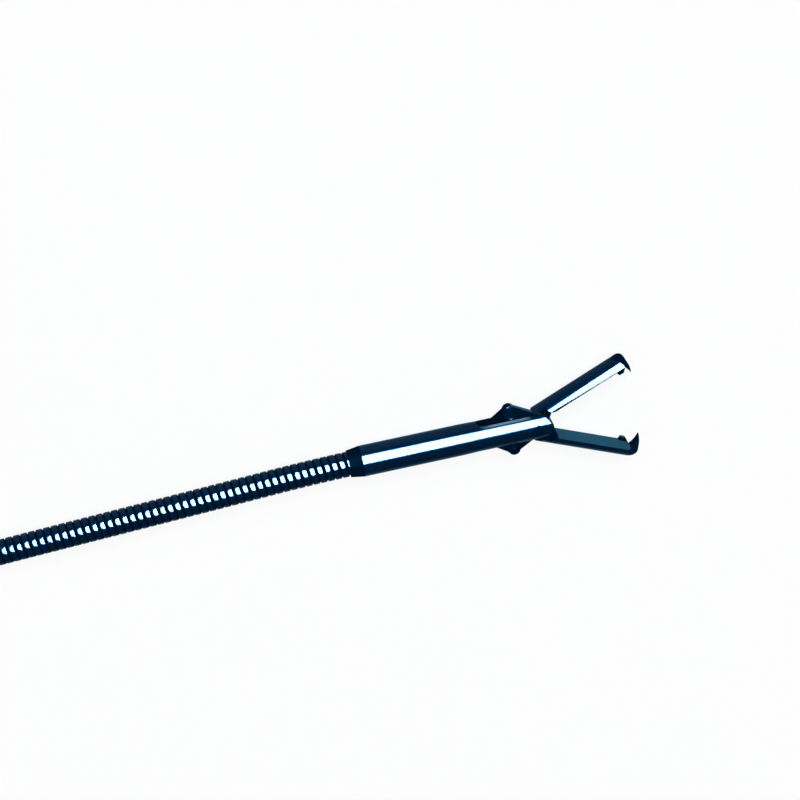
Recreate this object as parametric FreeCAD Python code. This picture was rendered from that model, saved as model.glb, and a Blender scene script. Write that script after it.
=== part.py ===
import FreeCAD, Part
import math
import os

# Endoscopic biopsy forceps with crossed, hooked jaws, lying on a table. Millimetres.
# X runs along the tool towards the jaws. The jaws open in the XY plane and every hinge
# turns about Z. The origin is on the tool's axis, in the plain round part of the distal tube.

# Distal tube
tube_radius = 1.15
tube_front = 10.0
tube_rear = -5.2
tube_taper_length = 1.0
tube_rear_wall = 0.05
bore_radius = 0.75
bore_front_gap = 0.15
socket_depth = 1.5
arm_start = 3.3
arm_relief = 0.03
arm_relief_length = 1.1
slot_end = 4.55
slot_width = 0.92
slot_edge_bevel = 0.09

# Fits of the working end
pin_press_gap = 0.01
pin_running_gap = 0.03
slide_gap = 0.03
plate_gap = 0.04
open_pivot_clearance = 0.10
jaw_arm_gap = 0.08

# Jaws and their crossed levers
pivot_radius = 0.38
pivot_flush_gap = 0.03
pivot_boss_radius = 0.92
tail_length = 2.40
tail_angle_closed = 16.0
jaw_open_angle = 23.5
tail_pin_radius = 0.20
tail_pin_head_radius = 0.45
knuckle_radius = 0.56
shoulder_reach = 1.27
shoulder_angle = 46.5
shoulder_radius = 0.14
jaw_length = 6.90
jaw_radius = 0.90
jaw_axis_offset = 0.35
jaw_face_offset = 0.46
jaw_shell_start = 0.30
face_start = 1.30
face_corner = 0.55
jaw_nose_length = 1.05
jaw_nose_height = 1.00
fang_height = 1.22
fang_lean = 0.18
fang_root = 0.70
fang_bulge = 0.07
fang_tip_inner = 0.14
fang_tip_outer = 0.40
short_half_setback = 0.36
tooth_height = 0.28
tooth_top_length = 0.36
tooth_setback = 0.62
tooth_back_slope = 0.10
tooth_width = 0.36
neck_length = 1.75
neck_radius = 0.32

# Links and drive
link_length = 2.70
link_half_width = 0.34
link_tail_radius = 0.44
link_yoke_radius = 0.48
yoke_pin_radius = 0.25
yoke_front = 0.50
yoke_fork_depth = 0.62
yoke_length = 1.75
rod_radius = 0.33
rod_length = 6.55
rod_seat = 0.5
bush_length = 1.5
bush_inset = 0.1

# Coil sheath
sheath_radius = 0.925
sheath_fit = 0.02
sheath_head_route = ((-3.7, 0.0, 0.0), (-7.5, 0.0, 0.0), (-15.0, -0.38, 0.0), (-30.0, -1.04, 0.0),
                     (-40.0, -1.52, 0.0), (-49.0, -1.70, 0.0))
sheath_handle_route = ((-49.0, 2.0, 5.55), (-53.5, 2.0, 5.55), (-58.2, 3.71, 5.55), (-62.03, 6.92, 5.55),
                       (-66.73, 8.63, 5.55), (-74.5, 8.63, 5.55))
coil_centre = (-49.0, 15.375)
coil_mid_radius = 13.375
coil_columns = 5
coil_full_layers = 3
coil_top_columns = 2
coil_corner = 0.9
tie_width = 4.0
tie_thickness = 0.2
tie_gap = 0.025
tie_lock_width = 3.0
tie_lock_depth = 2.2
tie_lock_height = 3.4
tie_turn = 50.0

# Handle, measured back from the tip of the strain relief
handle_tip = -70.0
handle_side = 8.63
nose_radius = 6.7
boot_length = 18.0
boot_tip_radius = 1.7
boot_tip_chamfer = 0.4
boot_root_radius = 3.3
boot_neck = 4.0
boot_flange_radius = 3.9
boot_flange_length = 2.0
boot_groove_depth = 0.45
boot_grooves = 5
boot_running_gap = 0.05
ferrule_start = 3.0
ferrule_length = 27.0
ferrule_radius = 1.45
ferrule_bore = 0.60
ferrule_chamfer = 0.2
nose_start = 12.0
nose_front_radius = 4.5
nose_belly_radius = 6.0
nose_rim = 0.8
nose_taper_length = 12.0
nose_length = 19.0
spigot_radius = 5.0
spigot_length = 5.1
spigot_chamfer = 0.3
collet_gap = 0.1
collet_slit = 0.5
collet_shoulder = 1.2
face_gap = 0.05
front_collar_length = 3.0
shaft_radius = 4.5
shaft_bore_radius = 2.6
shaft_bore_end_wall = 4.0
rear_collar_length = 4.0
ring_outer_radius = 15.0
ring_inner_radius = 10.5
ring_half_thickness = 4.0
ring_corner = 1.5
neck_half_height = 3.4
neck_half_width = 6.0
neck_end_half_width = 7.0
handle_edge = 0.8

# Finger spool
spool_length = 22.0
spool_travel = 14.0
spool_stop_gap = 0.5
spool_width = 28.0
spool_floor_gap = 0.3
spool_flange_length = 3.6
spool_barrel_width = 7.0
spool_barrel_height = 6.0
spool_edge_fillet = 1.2
spool_running_gap = 0.08
cross_pin_radius = 1.0
cross_pin_end_gap = 0.6
slot_pin_gap = 0.1
block_length = 9.0
block_running_gap = 0.08
pull_tube_radius = 0.5
pull_tube_bore = 0.25
pull_tube_seat = 3.0
pull_tube_start = 15.0
screw_radius = 0.8
screw_offset = 2.6
screw_inset = 0.25
screw_slot_half = 0.15
screw_slot_depth = 0.6

# Sizes that follow
pivot_x = tube_front - tube_radius
arm_radius = tube_radius - arm_relief
slot_half = slot_width / 2
plate_inner = plate_gap / 2
plate_outer = slot_half - plate_gap
coil_inner_radius = coil_mid_radius - coil_columns * sheath_radius
coil_outer_radius = coil_mid_radius + coil_columns * sheath_radius
coil_step_radius = coil_inner_radius + 2 * coil_top_columns * sheath_radius
coil_step_height = (2 * coil_full_layers - 1) * sheath_radius
coil_top = coil_step_height + 2 * sheath_radius
tail_angle_open = tail_angle_closed + jaw_open_angle
tail_x_open = pivot_x - tail_length * math.cos(math.radians(tail_angle_open))
tail_y_open = tail_length * math.sin(math.radians(tail_angle_open))
yoke_x_open = tail_x_open - math.sqrt(link_length ** 2 - tail_y_open ** 2)
link_angle_open = math.degrees(math.asin(tail_y_open / link_length))
tail_x_closed = pivot_x - tail_length * math.cos(math.radians(tail_angle_closed))
tail_y_closed = tail_length * math.sin(math.radians(tail_angle_closed))
yoke_x_closed = tail_x_closed - math.sqrt(link_length ** 2 - tail_y_closed ** 2)
link_angle_closed = math.degrees(math.asin(tail_y_closed / link_length))
shoulder_x_closed = pivot_x - shoulder_reach * math.cos(math.radians(shoulder_angle))
shoulder_y_closed = shoulder_reach * math.sin(math.radians(shoulder_angle))
yoke_radius = bore_radius - slide_gap
jaw_tip = tube_front + jaw_length
jaw_back_offset = jaw_axis_offset + jaw_radius
jaw_rim_half_width = math.sqrt(jaw_radius ** 2 - (jaw_face_offset - jaw_axis_offset) ** 2)
handle_height = nose_radius - tube_radius
nose_end = nose_start + nose_length
spigot_start = nose_end - spigot_length
collar_start = nose_end + face_gap
shaft_start = collar_start + front_collar_length
spool_start = shaft_start + spool_stop_gap
spool_middle = spool_start + spool_length / 2
rear_collar_start = spool_start + spool_length + spool_travel + spool_stop_gap
rear_collar_end = rear_collar_start + rear_collar_length
ring_centre = rear_collar_end + ring_outer_radius
block_radius = shaft_bore_radius - block_running_gap
screw_x = spool_middle - screw_offset

Z_AXIS = FreeCAD.Vector(0, 0, 1)
X_AXIS = FreeCAD.Vector(1, 0, 0)
Y_AXIS = FreeCAD.Vector(0, 1, 0)


def vec(x, y, z=0.0):
    return FreeCAD.Vector(x, y, z)


def rod_along_x(x0, x1, radius):
    return Part.makeCylinder(radius, x1 - x0, vec(x0, 0), X_AXIS)


def pin_along_z(x, y, z0, z1, radius):
    return Part.makeCylinder(radius, z1 - z0, vec(x, y, z0), Z_AXIS)


def pin_along_y(x, y0, y1, radius):
    return Part.makeCylinder(radius, y1 - y0, vec(x, y0), Y_AXIS)


def box_between(low, high):
    return Part.makeBox(high[0] - low[0], high[1] - low[1], high[2] - low[2], vec(*low))


def revolve_about_x(outline):
    """Turn an outline of (x, radius) points about the X axis."""
    points = [vec(x, radius) for x, radius in outline]
    face = Part.Face(Part.makePolygon(points + points[:1]))
    return face.revolve(vec(0, 0), X_AXIS, 360)


def strap_outline(first, first_radius, second, second_radius):
    """The outline round two circles, made of two tangent lines and two arcs."""
    reach = math.hypot(second[0] - first[0], second[1] - first[1])
    heading = math.atan2(second[1] - first[1], second[0] - first[0])
    lift = math.acos((first_radius - second_radius) / reach)

    def on_circle(centre, radius, angle):
        return vec(centre[0] + radius * math.cos(angle), centre[1] + radius * math.sin(angle))

    a = on_circle(first, first_radius, heading + lift)
    b = on_circle(second, second_radius, heading + lift)
    c = on_circle(second, second_radius, heading - lift)
    d = on_circle(first, first_radius, heading - lift)
    front = on_circle(second, second_radius, heading)
    back = on_circle(first, first_radius, heading + math.pi)
    edges = [Part.makeLine(a, b), Part.Arc(b, front, c).toShape(), Part.makeLine(c, d),
             Part.Arc(d, back, a).toShape()]
    return Part.Wire(edges)


def strap_plate(first, first_radius, second, second_radius, z0, z1):
    """A flat lever round two centres, between two heights."""
    plate = Part.Face(strap_outline(first, first_radius, second, second_radius))
    plate.translate(vec(0, 0, z0))
    return plate.extrude(vec(0, 0, z1 - z0))


def turned(shape, x, y, degrees):
    shape = shape.copy()
    shape.rotate(vec(x, y), Z_AXIS, degrees)
    return shape


def half_turned(shape):
    """The same part turned half a turn about the tool's axis."""
    shape = shape.copy()
    shape.rotate(vec(0, 0), X_AXIS, 180)
    return shape


def bevel_slot_edges(body):
    """Break the long edges where the slot comes out of the tube's round side."""
    edge_offset = math.sqrt(arm_radius ** 2 - slot_half ** 2)
    edges = [e for e in body.Edges
             if e.BoundBox.XLength > arm_radius and abs(abs(e.CenterOfMass.y) - edge_offset) < slide_gap
             and abs(abs(e.CenterOfMass.z) - slot_half) < slide_gap]
    return body.makeChamfer(slot_edge_bevel, edges)


def distal_tube():
    rear_radius = sheath_radius + sheath_fit + tube_rear_wall
    taper_end = tube_rear + tube_taper_length
    body = revolve_about_x([(tube_rear, 0), (tube_rear, rear_radius), (taper_end, tube_radius),
                            (arm_start, tube_radius), (arm_start + arm_relief_length, arm_radius),
                            (tube_front, arm_radius), (tube_front, 0)])
    round_front = pin_along_z(pivot_x, 0, -tube_radius, tube_radius, tube_radius)
    behind_pivot = box_between((tube_rear, -tube_radius, -tube_radius), (pivot_x, tube_radius, tube_radius))
    body = body.common(round_front.fuse(behind_pivot))
    body = body.cut(rod_along_x(tube_rear, yoke_x_open + yoke_front + bore_front_gap, bore_radius))
    body = body.cut(rod_along_x(tube_rear, tube_rear + socket_depth, sheath_radius + sheath_fit))
    slot_round = pin_along_y(slot_end + slot_half, -tube_radius, tube_radius, slot_half)
    slot = box_between((slot_end + slot_half, -tube_radius, -slot_half),
                       (tube_front, tube_radius, slot_half))
    body = bevel_slot_edges(body.cut(slot.fuse(slot_round)))
    pin_hole = pin_along_z(pivot_x, 0, -tube_radius, tube_radius, pivot_radius + pin_press_gap)
    return body.cut(pin_hole)


def pivot_pin():
    pin = pin_along_z(pivot_x, 0, -tube_radius, tube_radius, pivot_radius)
    return pin.common(rod_along_x(tube_rear, tube_front, arm_radius - pivot_flush_gap))


def guide_bush():
    start = tube_rear + socket_depth + bush_inset
    outer = rod_along_x(start, start + bush_length, bore_radius - pin_press_gap)
    return outer.cut(rod_along_x(start, start + bush_length, rod_radius + pin_running_gap))


def jaw_side_profile(long_half):
    """The outline of one half of the jaw's shell, seen from the side, jaws closed."""
    back = -jaw_back_offset
    face = -jaw_face_offset
    start = pivot_x + jaw_shell_start
    nose_start = vec(jaw_tip - jaw_nose_length, back)
    if long_half:
        nose_top = vec(jaw_tip, back + jaw_nose_height)
        bulge = vec(jaw_tip - 0.28 * jaw_nose_length, back + 0.29 * jaw_nose_height)
        tip = vec(jaw_tip - fang_lean, face + fang_height)
        outer_bend = vec(jaw_tip - fang_lean / 2 + fang_bulge, (nose_top.y + tip.y) / 2)
        inner_bend = vec(jaw_tip - 0.60 * fang_root, face + 0.30 * fang_height)
        front = vec(jaw_tip - fang_root, face)
        edges = [Part.makeLine(vec(start, back), nose_start),
                 Part.Arc(nose_start, bulge, nose_top).toShape(),
                 Part.Arc(nose_top, outer_bend, tip).toShape(),
                 Part.Arc(tip, inner_bend, front).toShape()]
    else:
        front = vec(jaw_tip - short_half_setback, face)
        bulge = vec(jaw_tip - short_half_setback - 0.10 * jaw_nose_length, back + 0.30 * jaw_nose_height)
        edges = [Part.makeLine(vec(start, back), nose_start),
                 Part.Arc(nose_start, bulge, front).toShape()]
    face_rear = vec(pivot_x + face_start + face_corner, face)
    corner_low = vec(pivot_x + face_start, face - face_corner)
    corner_middle = vec(pivot_x + face_start + (1 - math.sqrt(0.5)) * face_corner,
                        face - (1 - math.sqrt(0.5)) * face_corner)
    edges += [Part.makeLine(front, face_rear), Part.Arc(face_rear, corner_middle, corner_low).toShape(),
              Part.makeLine(corner_low, vec(start, face - face_corner)),
              Part.makeLine(vec(start, face - face_corner), vec(start, back))]
    return Part.Face(Part.Wire(edges))


def side_tooth():
    """The low tooth on the rim of the short half, just behind its front end."""
    face = -jaw_face_offset
    top_front = jaw_tip - tooth_setback
    top_rear = top_front - tooth_top_length
    view = Part.Face(Part.makePolygon([
        vec(top_rear - tooth_back_slope, face), vec(top_rear, face + tooth_height),
        vec(top_front, face + tooth_height), vec(jaw_tip - short_half_setback, face),
        vec(top_rear - tooth_back_slope, face)]))
    view.translate(vec(0, 0, tooth_width - jaw_rim_half_width))
    return view.extrude(vec(0, 0, -tooth_width))


def jaw_shell():
    """The half-round outer part of the lower jaw: a long half with the fang, a short one with the tooth."""
    back = -jaw_back_offset
    face = -jaw_face_offset
    fang_top = face + fang_height
    long_half = jaw_side_profile(True).extrude(vec(0, 0, jaw_radius))
    short_half = jaw_side_profile(False).extrude(vec(0, 0, -jaw_radius))
    fang_front_view = Part.Face(Part.makePolygon([
        vec(pivot_x, back, 0), vec(pivot_x, face, 0), vec(pivot_x, fang_top, fang_tip_inner),
        vec(pivot_x, fang_top, fang_tip_outer), vec(pivot_x, face, jaw_radius),
        vec(pivot_x, back, jaw_radius), vec(pivot_x, back, 0)]))
    length = jaw_tip - pivot_x
    long_half = long_half.common(fang_front_view.extrude(vec(length, 0, 0)))
    below_face = Part.makeCylinder(jaw_radius, length, vec(pivot_x, -jaw_axis_offset), X_AXIS)
    above_face = box_between((pivot_x, face, -jaw_rim_half_width), (jaw_tip, fang_top, jaw_rim_half_width))
    shell = long_half.fuse(short_half).fuse(side_tooth()).common(below_face.fuse(above_face))
    return shell.cut(pin_along_z(pivot_x, 0, -jaw_radius, jaw_radius, tube_radius + jaw_arm_gap))


def closed_jaw():
    """The lower jaw with the jaws closed: its lever lies in the near half of the slot."""
    neck_end = (pivot_x + neck_length, -jaw_face_offset - neck_radius)
    pivot = (pivot_x, 0.0)
    tail = (tail_x_closed, tail_y_closed)
    lever = strap_plate(pivot, pivot_boss_radius, tail, knuckle_radius, plate_inner, plate_outer)
    shoulder = (shoulder_x_closed, shoulder_y_closed)
    behind = strap_plate(shoulder, shoulder_radius, tail, knuckle_radius, plate_inner, plate_outer)
    before = strap_plate(pivot, pivot_boss_radius, shoulder, shoulder_radius, plate_inner, plate_outer)
    neck = strap_plate(pivot, pivot_boss_radius, neck_end, neck_radius, plate_inner, plate_outer)
    jaw = jaw_shell().fuse(neck).fuse(lever).fuse(behind).fuse(before)
    jaw = jaw.cut(pin_along_z(pivot_x, 0, -tube_radius, tube_radius, pivot_radius + pin_running_gap))
    jaw = jaw.cut(pin_along_z(tail[0], tail[1], -tube_radius, tube_radius,
                              tail_pin_head_radius + pin_press_gap))
    return jaw.removeSplitter()


def closed_tail_pin():
    """The stepped pin in the lower jaw's tail: the wide end is flush there, the thin end holds the link."""
    head = pin_along_z(tail_x_closed, tail_y_closed, plate_inner, plate_outer, tail_pin_head_radius)
    shank = pin_along_z(tail_x_closed, tail_y_closed, -plate_outer, plate_inner, tail_pin_radius)
    return head.fuse(shank)


def open_link():
    """The lower jaw's link, in the far half of the slot, from the yoke pin to the tail pin."""
    yoke = (yoke_x_open, 0.0)
    tail = (tail_x_open, tail_y_open)
    bar = strap_plate(yoke, link_half_width, tail, link_half_width, -plate_outer, -plate_inner)
    yoke_eye = pin_along_z(yoke[0], yoke[1], -plate_outer, -plate_inner, link_yoke_radius)
    tail_eye = pin_along_z(tail[0], tail[1], -plate_outer, -plate_inner, link_tail_radius)
    link = bar.fuse(yoke_eye).fuse(tail_eye)
    link = link.cut(pin_along_z(yoke[0], yoke[1], -slot_half, slot_half, yoke_pin_radius + pin_running_gap))
    link = link.cut(pin_along_z(tail[0], tail[1], -slot_half, slot_half,
                                tail_pin_radius + open_pivot_clearance))
    return link.removeSplitter()


def drive_yoke():
    front = yoke_x_open + yoke_front
    rear = front - yoke_length
    body = rod_along_x(rear, front, yoke_radius)
    fork_half = plate_outer + plate_gap
    fork_root = yoke_x_open - yoke_fork_depth
    body = body.cut(box_between((fork_root, -tube_radius, -fork_half), (front, tube_radius, fork_half)))
    body = body.cut(pin_along_z(yoke_x_open, 0, -tube_radius, tube_radius, yoke_pin_radius + pin_press_gap))
    return body.cut(rod_along_x(rear, rear + rod_seat, rod_radius + pin_press_gap))


def yoke_pin():
    pin = pin_along_z(yoke_x_open, 0, -bore_radius, bore_radius, yoke_pin_radius)
    return pin.common(rod_along_x(slot_end - tube_radius, tube_front, yoke_radius))


def drive_rod():
    front = yoke_x_open + yoke_front - yoke_length + rod_seat - pin_press_gap
    return rod_along_x(front - rod_length, front, rod_radius)


def rounded_route(points):
    """Straight runs joined by tangent arcs. Returns the wire and the arc radii."""
    corners = [vec(*p) for p in points]
    edges = []
    radii = []
    start = corners[0]
    for before, corner, after in zip(corners, corners[1:], corners[2:]):
        into = (corner - before).normalize()
        out = (after - corner).normalize()
        half_turn = into.getAngle(out) / 2
        tangent = 0.45 * min((corner - before).Length, (after - corner).Length)
        radius = tangent / math.tan(half_turn)
        radii.append(radius)
        arc_start = corner - into * tangent
        arc_end = corner + out * tangent
        inward = (out - into).normalize()
        middle = corner + inward * (radius / math.cos(half_turn) - radius)
        edges.append(Part.makeLine(start, arc_start))
        edges.append(Part.Arc(arc_start, middle, arc_end).toShape())
        start = arc_end
    edges.append(Part.makeLine(start, corners[-1]))
    return Part.Wire(edges), radii


def sheath_run(points):
    wire, radii = rounded_route(points)
    heading = vec(*points[1]) - vec(*points[0])
    section = Part.Wire(Part.makeCircle(sheath_radius, vec(*points[0]), heading))
    run = wire.makePipeShell([section], True, False)
    expected = math.pi * sheath_radius ** 2 * wire.Length
    print("sheath run %.2f mm, volume ratio %.4f, arc radii %s"
          % (wire.Length, run.Volume / expected, [round(r, 1) for r in radii]))
    return run


def rounded_ring(inner, outer, low, high, corner):
    """A ring about the Z axis, with a square section that has rounded corners."""
    inset = corner * (1 - math.sqrt(0.5))
    edges = [Part.makeLine(vec(inner + corner, 0, low), vec(outer - corner, 0, low)),
             Part.Arc(vec(outer - corner, 0, low), vec(outer - inset, 0, low + inset),
                      vec(outer, 0, low + corner)).toShape(),
             Part.makeLine(vec(outer, 0, low + corner), vec(outer, 0, high - corner)),
             Part.Arc(vec(outer, 0, high - corner), vec(outer - inset, 0, high - inset),
                      vec(outer - corner, 0, high)).toShape(),
             Part.makeLine(vec(outer - corner, 0, high), vec(inner + corner, 0, high)),
             Part.Arc(vec(inner + corner, 0, high), vec(inner + inset, 0, high - inset),
                      vec(inner, 0, high - corner)).toShape(),
             Part.makeLine(vec(inner, 0, high - corner), vec(inner, 0, low + corner)),
             Part.Arc(vec(inner, 0, low + corner), vec(inner + inset, 0, low + inset),
                      vec(inner + corner, 0, low)).toShape()]
    return Part.Face(Part.Wire(edges)).revolve(vec(0, 0), Z_AXIS, 360)


def sheath_coil():
    """The outer shape of the coiled sheath, whose last turns lie inside on top of the full layers."""
    low = -sheath_radius
    full_layers = rounded_ring(coil_inner_radius, coil_outer_radius, low, coil_step_height, coil_corner)
    top_turns = rounded_ring(coil_inner_radius, coil_step_radius, low, coil_top, coil_corner)
    ring = full_layers.fuse(top_turns).removeSplitter()
    ring.translate(vec(coil_centre[0], coil_centre[1]))
    return ring


def coil_tie():
    """A band round the coil's section, with a small lock outside."""
    half_width = tie_width / 2
    near = math.sqrt(coil_inner_radius ** 2 - half_width ** 2) - tie_gap
    far = coil_outer_radius + tie_gap
    low = -sheath_radius - tie_gap
    high = coil_top + tie_gap
    outside = box_between((-half_width, near - tie_thickness, low - tie_thickness),
                          (half_width, far + tie_thickness, high + tie_thickness))
    inside = box_between((-tie_width, near, low), (tie_width, far, high))
    lock_low = (high + low - tie_lock_height) / 2
    lock = box_between((-tie_lock_width / 2, far, lock_low),
                       (tie_lock_width / 2, far + tie_lock_depth, lock_low + tie_lock_height))
    tie = outside.cut(inside).fuse(lock)
    tie.rotate(vec(0, 0), Z_AXIS, tie_turn)
    tie.translate(vec(coil_centre[0], coil_centre[1]))
    return tie.removeSplitter()


def placed_on_handle(shape):
    """Handle parts are drawn about the X axis with x counted back from the strain relief's tip."""
    shape = shape.copy()
    shape.rotate(vec(0, 0), Z_AXIS, 180)
    shape.translate(vec(handle_tip, handle_side, handle_height))
    return shape


def strain_relief():
    taper_length = boot_length - boot_flange_length - boot_neck
    low = boot_tip_radius - boot_tip_chamfer
    outline = [(0, 0), (0, low), (boot_tip_chamfer, boot_tip_radius)]
    pitch = taper_length / (boot_grooves + 1)
    growth = (boot_root_radius - boot_tip_radius) / taper_length
    for i in range(1, boot_grooves + 1):
        middle = i * pitch
        edge = pitch / 4
        radius = boot_tip_radius + growth * middle
        groove_floor = radius - boot_groove_depth
        outline += [(middle - edge, radius - growth * edge), (middle - edge / 2, groove_floor),
                    (middle + edge / 2, groove_floor), (middle + edge, radius + growth * edge)]
    flange = boot_length - boot_flange_length
    outline += [(taper_length, boot_root_radius), (flange, boot_root_radius), (flange, boot_flange_radius),
                (boot_length, boot_flange_radius), (boot_length, 0)]
    boot = revolve_about_x(outline)
    boot = boot.cut(rod_along_x(0, boot_length, sheath_radius + boot_running_gap))
    return boot.cut(rod_along_x(ferrule_start - face_gap, boot_length, ferrule_radius + sheath_fit))


def sheath_ferrule():
    end = ferrule_start + ferrule_length
    low = ferrule_radius - ferrule_chamfer
    tube = revolve_about_x([(ferrule_start, 0), (ferrule_start, low),
                            (ferrule_start + ferrule_chamfer, ferrule_radius),
                            (end - ferrule_chamfer, ferrule_radius), (end, low), (end, 0)])
    sheath_end = handle_tip - sheath_handle_route[-1][0]
    tube = tube.cut(rod_along_x(ferrule_start, sheath_end, sheath_radius + sheath_fit))
    return tube.cut(rod_along_x(ferrule_start, end, ferrule_bore))


def nose_cap():
    taper_end = nose_start + nose_taper_length
    front = vec(nose_start, nose_front_radius - nose_rim)
    front_corner = vec(nose_start + nose_rim, nose_front_radius)
    belly = vec(nose_start + nose_taper_length / 2, nose_belly_radius)
    edges = [Part.makeLine(vec(nose_start, 0), front), Part.makeLine(front, front_corner),
             Part.Arc(front_corner, belly, vec(taper_end, nose_radius)).toShape(),
             Part.makeLine(vec(taper_end, nose_radius), vec(nose_end, nose_radius)),
             Part.makeLine(vec(nose_end, nose_radius), vec(nose_end, 0)),
             Part.makeLine(vec(nose_end, 0), vec(nose_start, 0))]
    cap = Part.Face(Part.Wire(edges)).revolve(vec(0, 0), X_AXIS, 360)
    lip_end = boot_length - boot_flange_length - face_gap
    cap = cap.cut(rod_along_x(nose_start, nose_end, boot_root_radius + boot_running_gap))
    cap = cap.cut(rod_along_x(lip_end, nose_end, boot_flange_radius + collet_gap))
    return cap.cut(rod_along_x(spigot_start - face_gap, nose_end, spigot_radius + boot_running_gap))


def collet():
    start = boot_length + face_gap
    end = spigot_start - 2 * face_gap
    bore = ferrule_radius + sheath_fit
    low = boot_flange_radius - collet_shoulder / 2
    body = revolve_about_x([(start, bore), (start, low), (start + collet_shoulder, boot_flange_radius),
                            (end - collet_shoulder, boot_flange_radius), (end, low), (end, bore)])
    slit = box_between((start, 0, -collet_slit / 2), (end, nose_radius, collet_slit / 2))
    return body.cut(slit)


def thumb_ring():
    ring = rounded_ring(ring_inner_radius, ring_outer_radius, -ring_half_thickness, ring_half_thickness,
                        ring_corner)
    ring.translate(vec(ring_centre, 0))
    return ring


def ellipse_section(x, half_width, half_height):
    """An upright elliptical section across the handle."""
    curve = Part.Ellipse(vec(0, 0), half_width, half_height)
    wire = Part.Wire(curve.toShape())
    matrix = FreeCAD.Matrix(0, 0, 1, x, 1, 0, 0, 0, 0, 1, 0, 0, 0, 0, 0, 1)
    return wire.transformGeometry(matrix)


def handle_core():
    """The turned part of the handle: spigot, front collar, shaft and rear collar."""
    low = nose_radius - handle_edge
    rear_end = rear_collar_end
    return revolve_about_x([(spigot_start, 0), (spigot_start, spigot_radius - spigot_chamfer),
                            (spigot_start + spigot_chamfer, spigot_radius), (collar_start, spigot_radius),
                            (collar_start, nose_radius), (shaft_start - handle_edge, nose_radius),
                            (shaft_start, low), (shaft_start, shaft_radius),
                            (rear_collar_start, shaft_radius), (rear_collar_start, low),
                            (rear_collar_start + handle_edge, nose_radius),
                            (rear_end - handle_edge, nose_radius), (rear_end, low), (rear_end, 0)])


def handle_neck():
    """The waist between the rear collar and the thumb ring."""
    start = rear_collar_end - handle_edge
    end = ring_centre - ring_inner_radius - ring_corner
    low = nose_radius - handle_edge
    neck = Part.makeLoft([ellipse_section(start, low, low),
                          ellipse_section((start + end) / 2, neck_half_width, neck_half_height),
                          ellipse_section(end, neck_end_half_width, neck_half_height)], True, False)
    return neck.cut(pin_along_z(ring_centre, 0, -nose_radius, nose_radius, ring_inner_radius + ring_corner))


def cross_slot():
    """The long slot through the shaft that the cross pin slides in."""
    half_width = cross_pin_radius + slot_pin_gap
    start = spool_middle - spool_stop_gap
    stop = spool_middle + spool_travel + spool_stop_gap
    slot = box_between((start, -nose_radius, -half_width), (stop, nose_radius, half_width))
    for end in (start, stop):
        slot = slot.fuse(pin_along_y(end, -nose_radius, nose_radius, half_width))
    return slot


def handle_body():
    body = handle_core().fuse(handle_neck()).fuse(thumb_ring())
    body = body.cut(rod_along_x(spigot_start, rear_collar_start - shaft_bore_end_wall, shaft_bore_radius))
    return body.cut(cross_slot()).removeSplitter()


def spool_flange():
    """The flat-sided finger flange at the front of the spool, with rounded edges."""
    half_height = nose_radius - spool_floor_gap
    half_straight = spool_width / 2 - half_height
    edges = [Part.makeLine(vec(0, -half_straight, -half_height), vec(0, half_straight, -half_height)),
             Part.Arc(vec(0, half_straight, -half_height), vec(0, spool_width / 2, 0),
                      vec(0, half_straight, half_height)).toShape(),
             Part.makeLine(vec(0, half_straight, half_height), vec(0, -half_straight, half_height)),
             Part.Arc(vec(0, -half_straight, half_height), vec(0, -spool_width / 2, 0),
                      vec(0, -half_straight, -half_height)).toShape()]
    flange = Part.Face(Part.Wire(edges)).extrude(vec(spool_flange_length, 0, 0))
    return flange.makeFillet(spool_edge_fillet, flange.Edges)


def spool_front():
    """The front half: a flange and half of the barrel, up to the cross pin's axis."""
    flange = spool_flange()
    flange.translate(vec(spool_start, 0))
    barrel_start = spool_start + spool_flange_length / 2
    barrel = Part.Face(ellipse_section(barrel_start, spool_barrel_width, spool_barrel_height))
    barrel = barrel.extrude(vec(spool_middle - barrel_start, 0, 0))
    half = flange.fuse(barrel)
    half = half.cut(rod_along_x(spool_start, spool_middle, shaft_radius + spool_running_gap))
    return half.cut(pin_along_y(spool_middle, -spool_width / 2, spool_width / 2,
                                cross_pin_radius + pin_press_gap))


def spool_rear():
    return spool_front().mirror(vec(spool_middle, 0), X_AXIS)


def cross_pin():
    half_length = spool_barrel_width - cross_pin_end_gap
    return pin_along_y(spool_middle, -half_length, half_length, cross_pin_radius)


def anchor_block():
    """The round block inside the shaft that joins the pull tube to the cross pin."""
    front = spool_middle - block_length / 2
    block = rod_along_x(front, front + block_length, block_radius)
    block = block.cut(pin_along_y(spool_middle, -block_radius, block_radius,
                                  cross_pin_radius + pin_press_gap))
    block = block.cut(rod_along_x(front, front + pull_tube_seat, pull_tube_radius + pin_press_gap))
    return block.cut(pin_along_z(screw_x, 0, 0, block_radius, screw_radius + pin_press_gap))


def set_screw():
    top = block_radius - screw_inset
    screw = pin_along_z(screw_x, 0, pull_tube_radius + pin_press_gap, top, screw_radius)
    return screw.cut(box_between((screw_x - screw_radius, -screw_slot_half, top - screw_slot_depth),
                                 (screw_x + screw_radius, screw_slot_half, top)))


def pull_tube():
    end = spool_middle - block_length / 2 + pull_tube_seat - pin_press_gap
    tube = rod_along_x(pull_tube_start, end, pull_tube_radius)
    return tube.cut(rod_along_x(pull_tube_start, end, pull_tube_bore))


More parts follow.
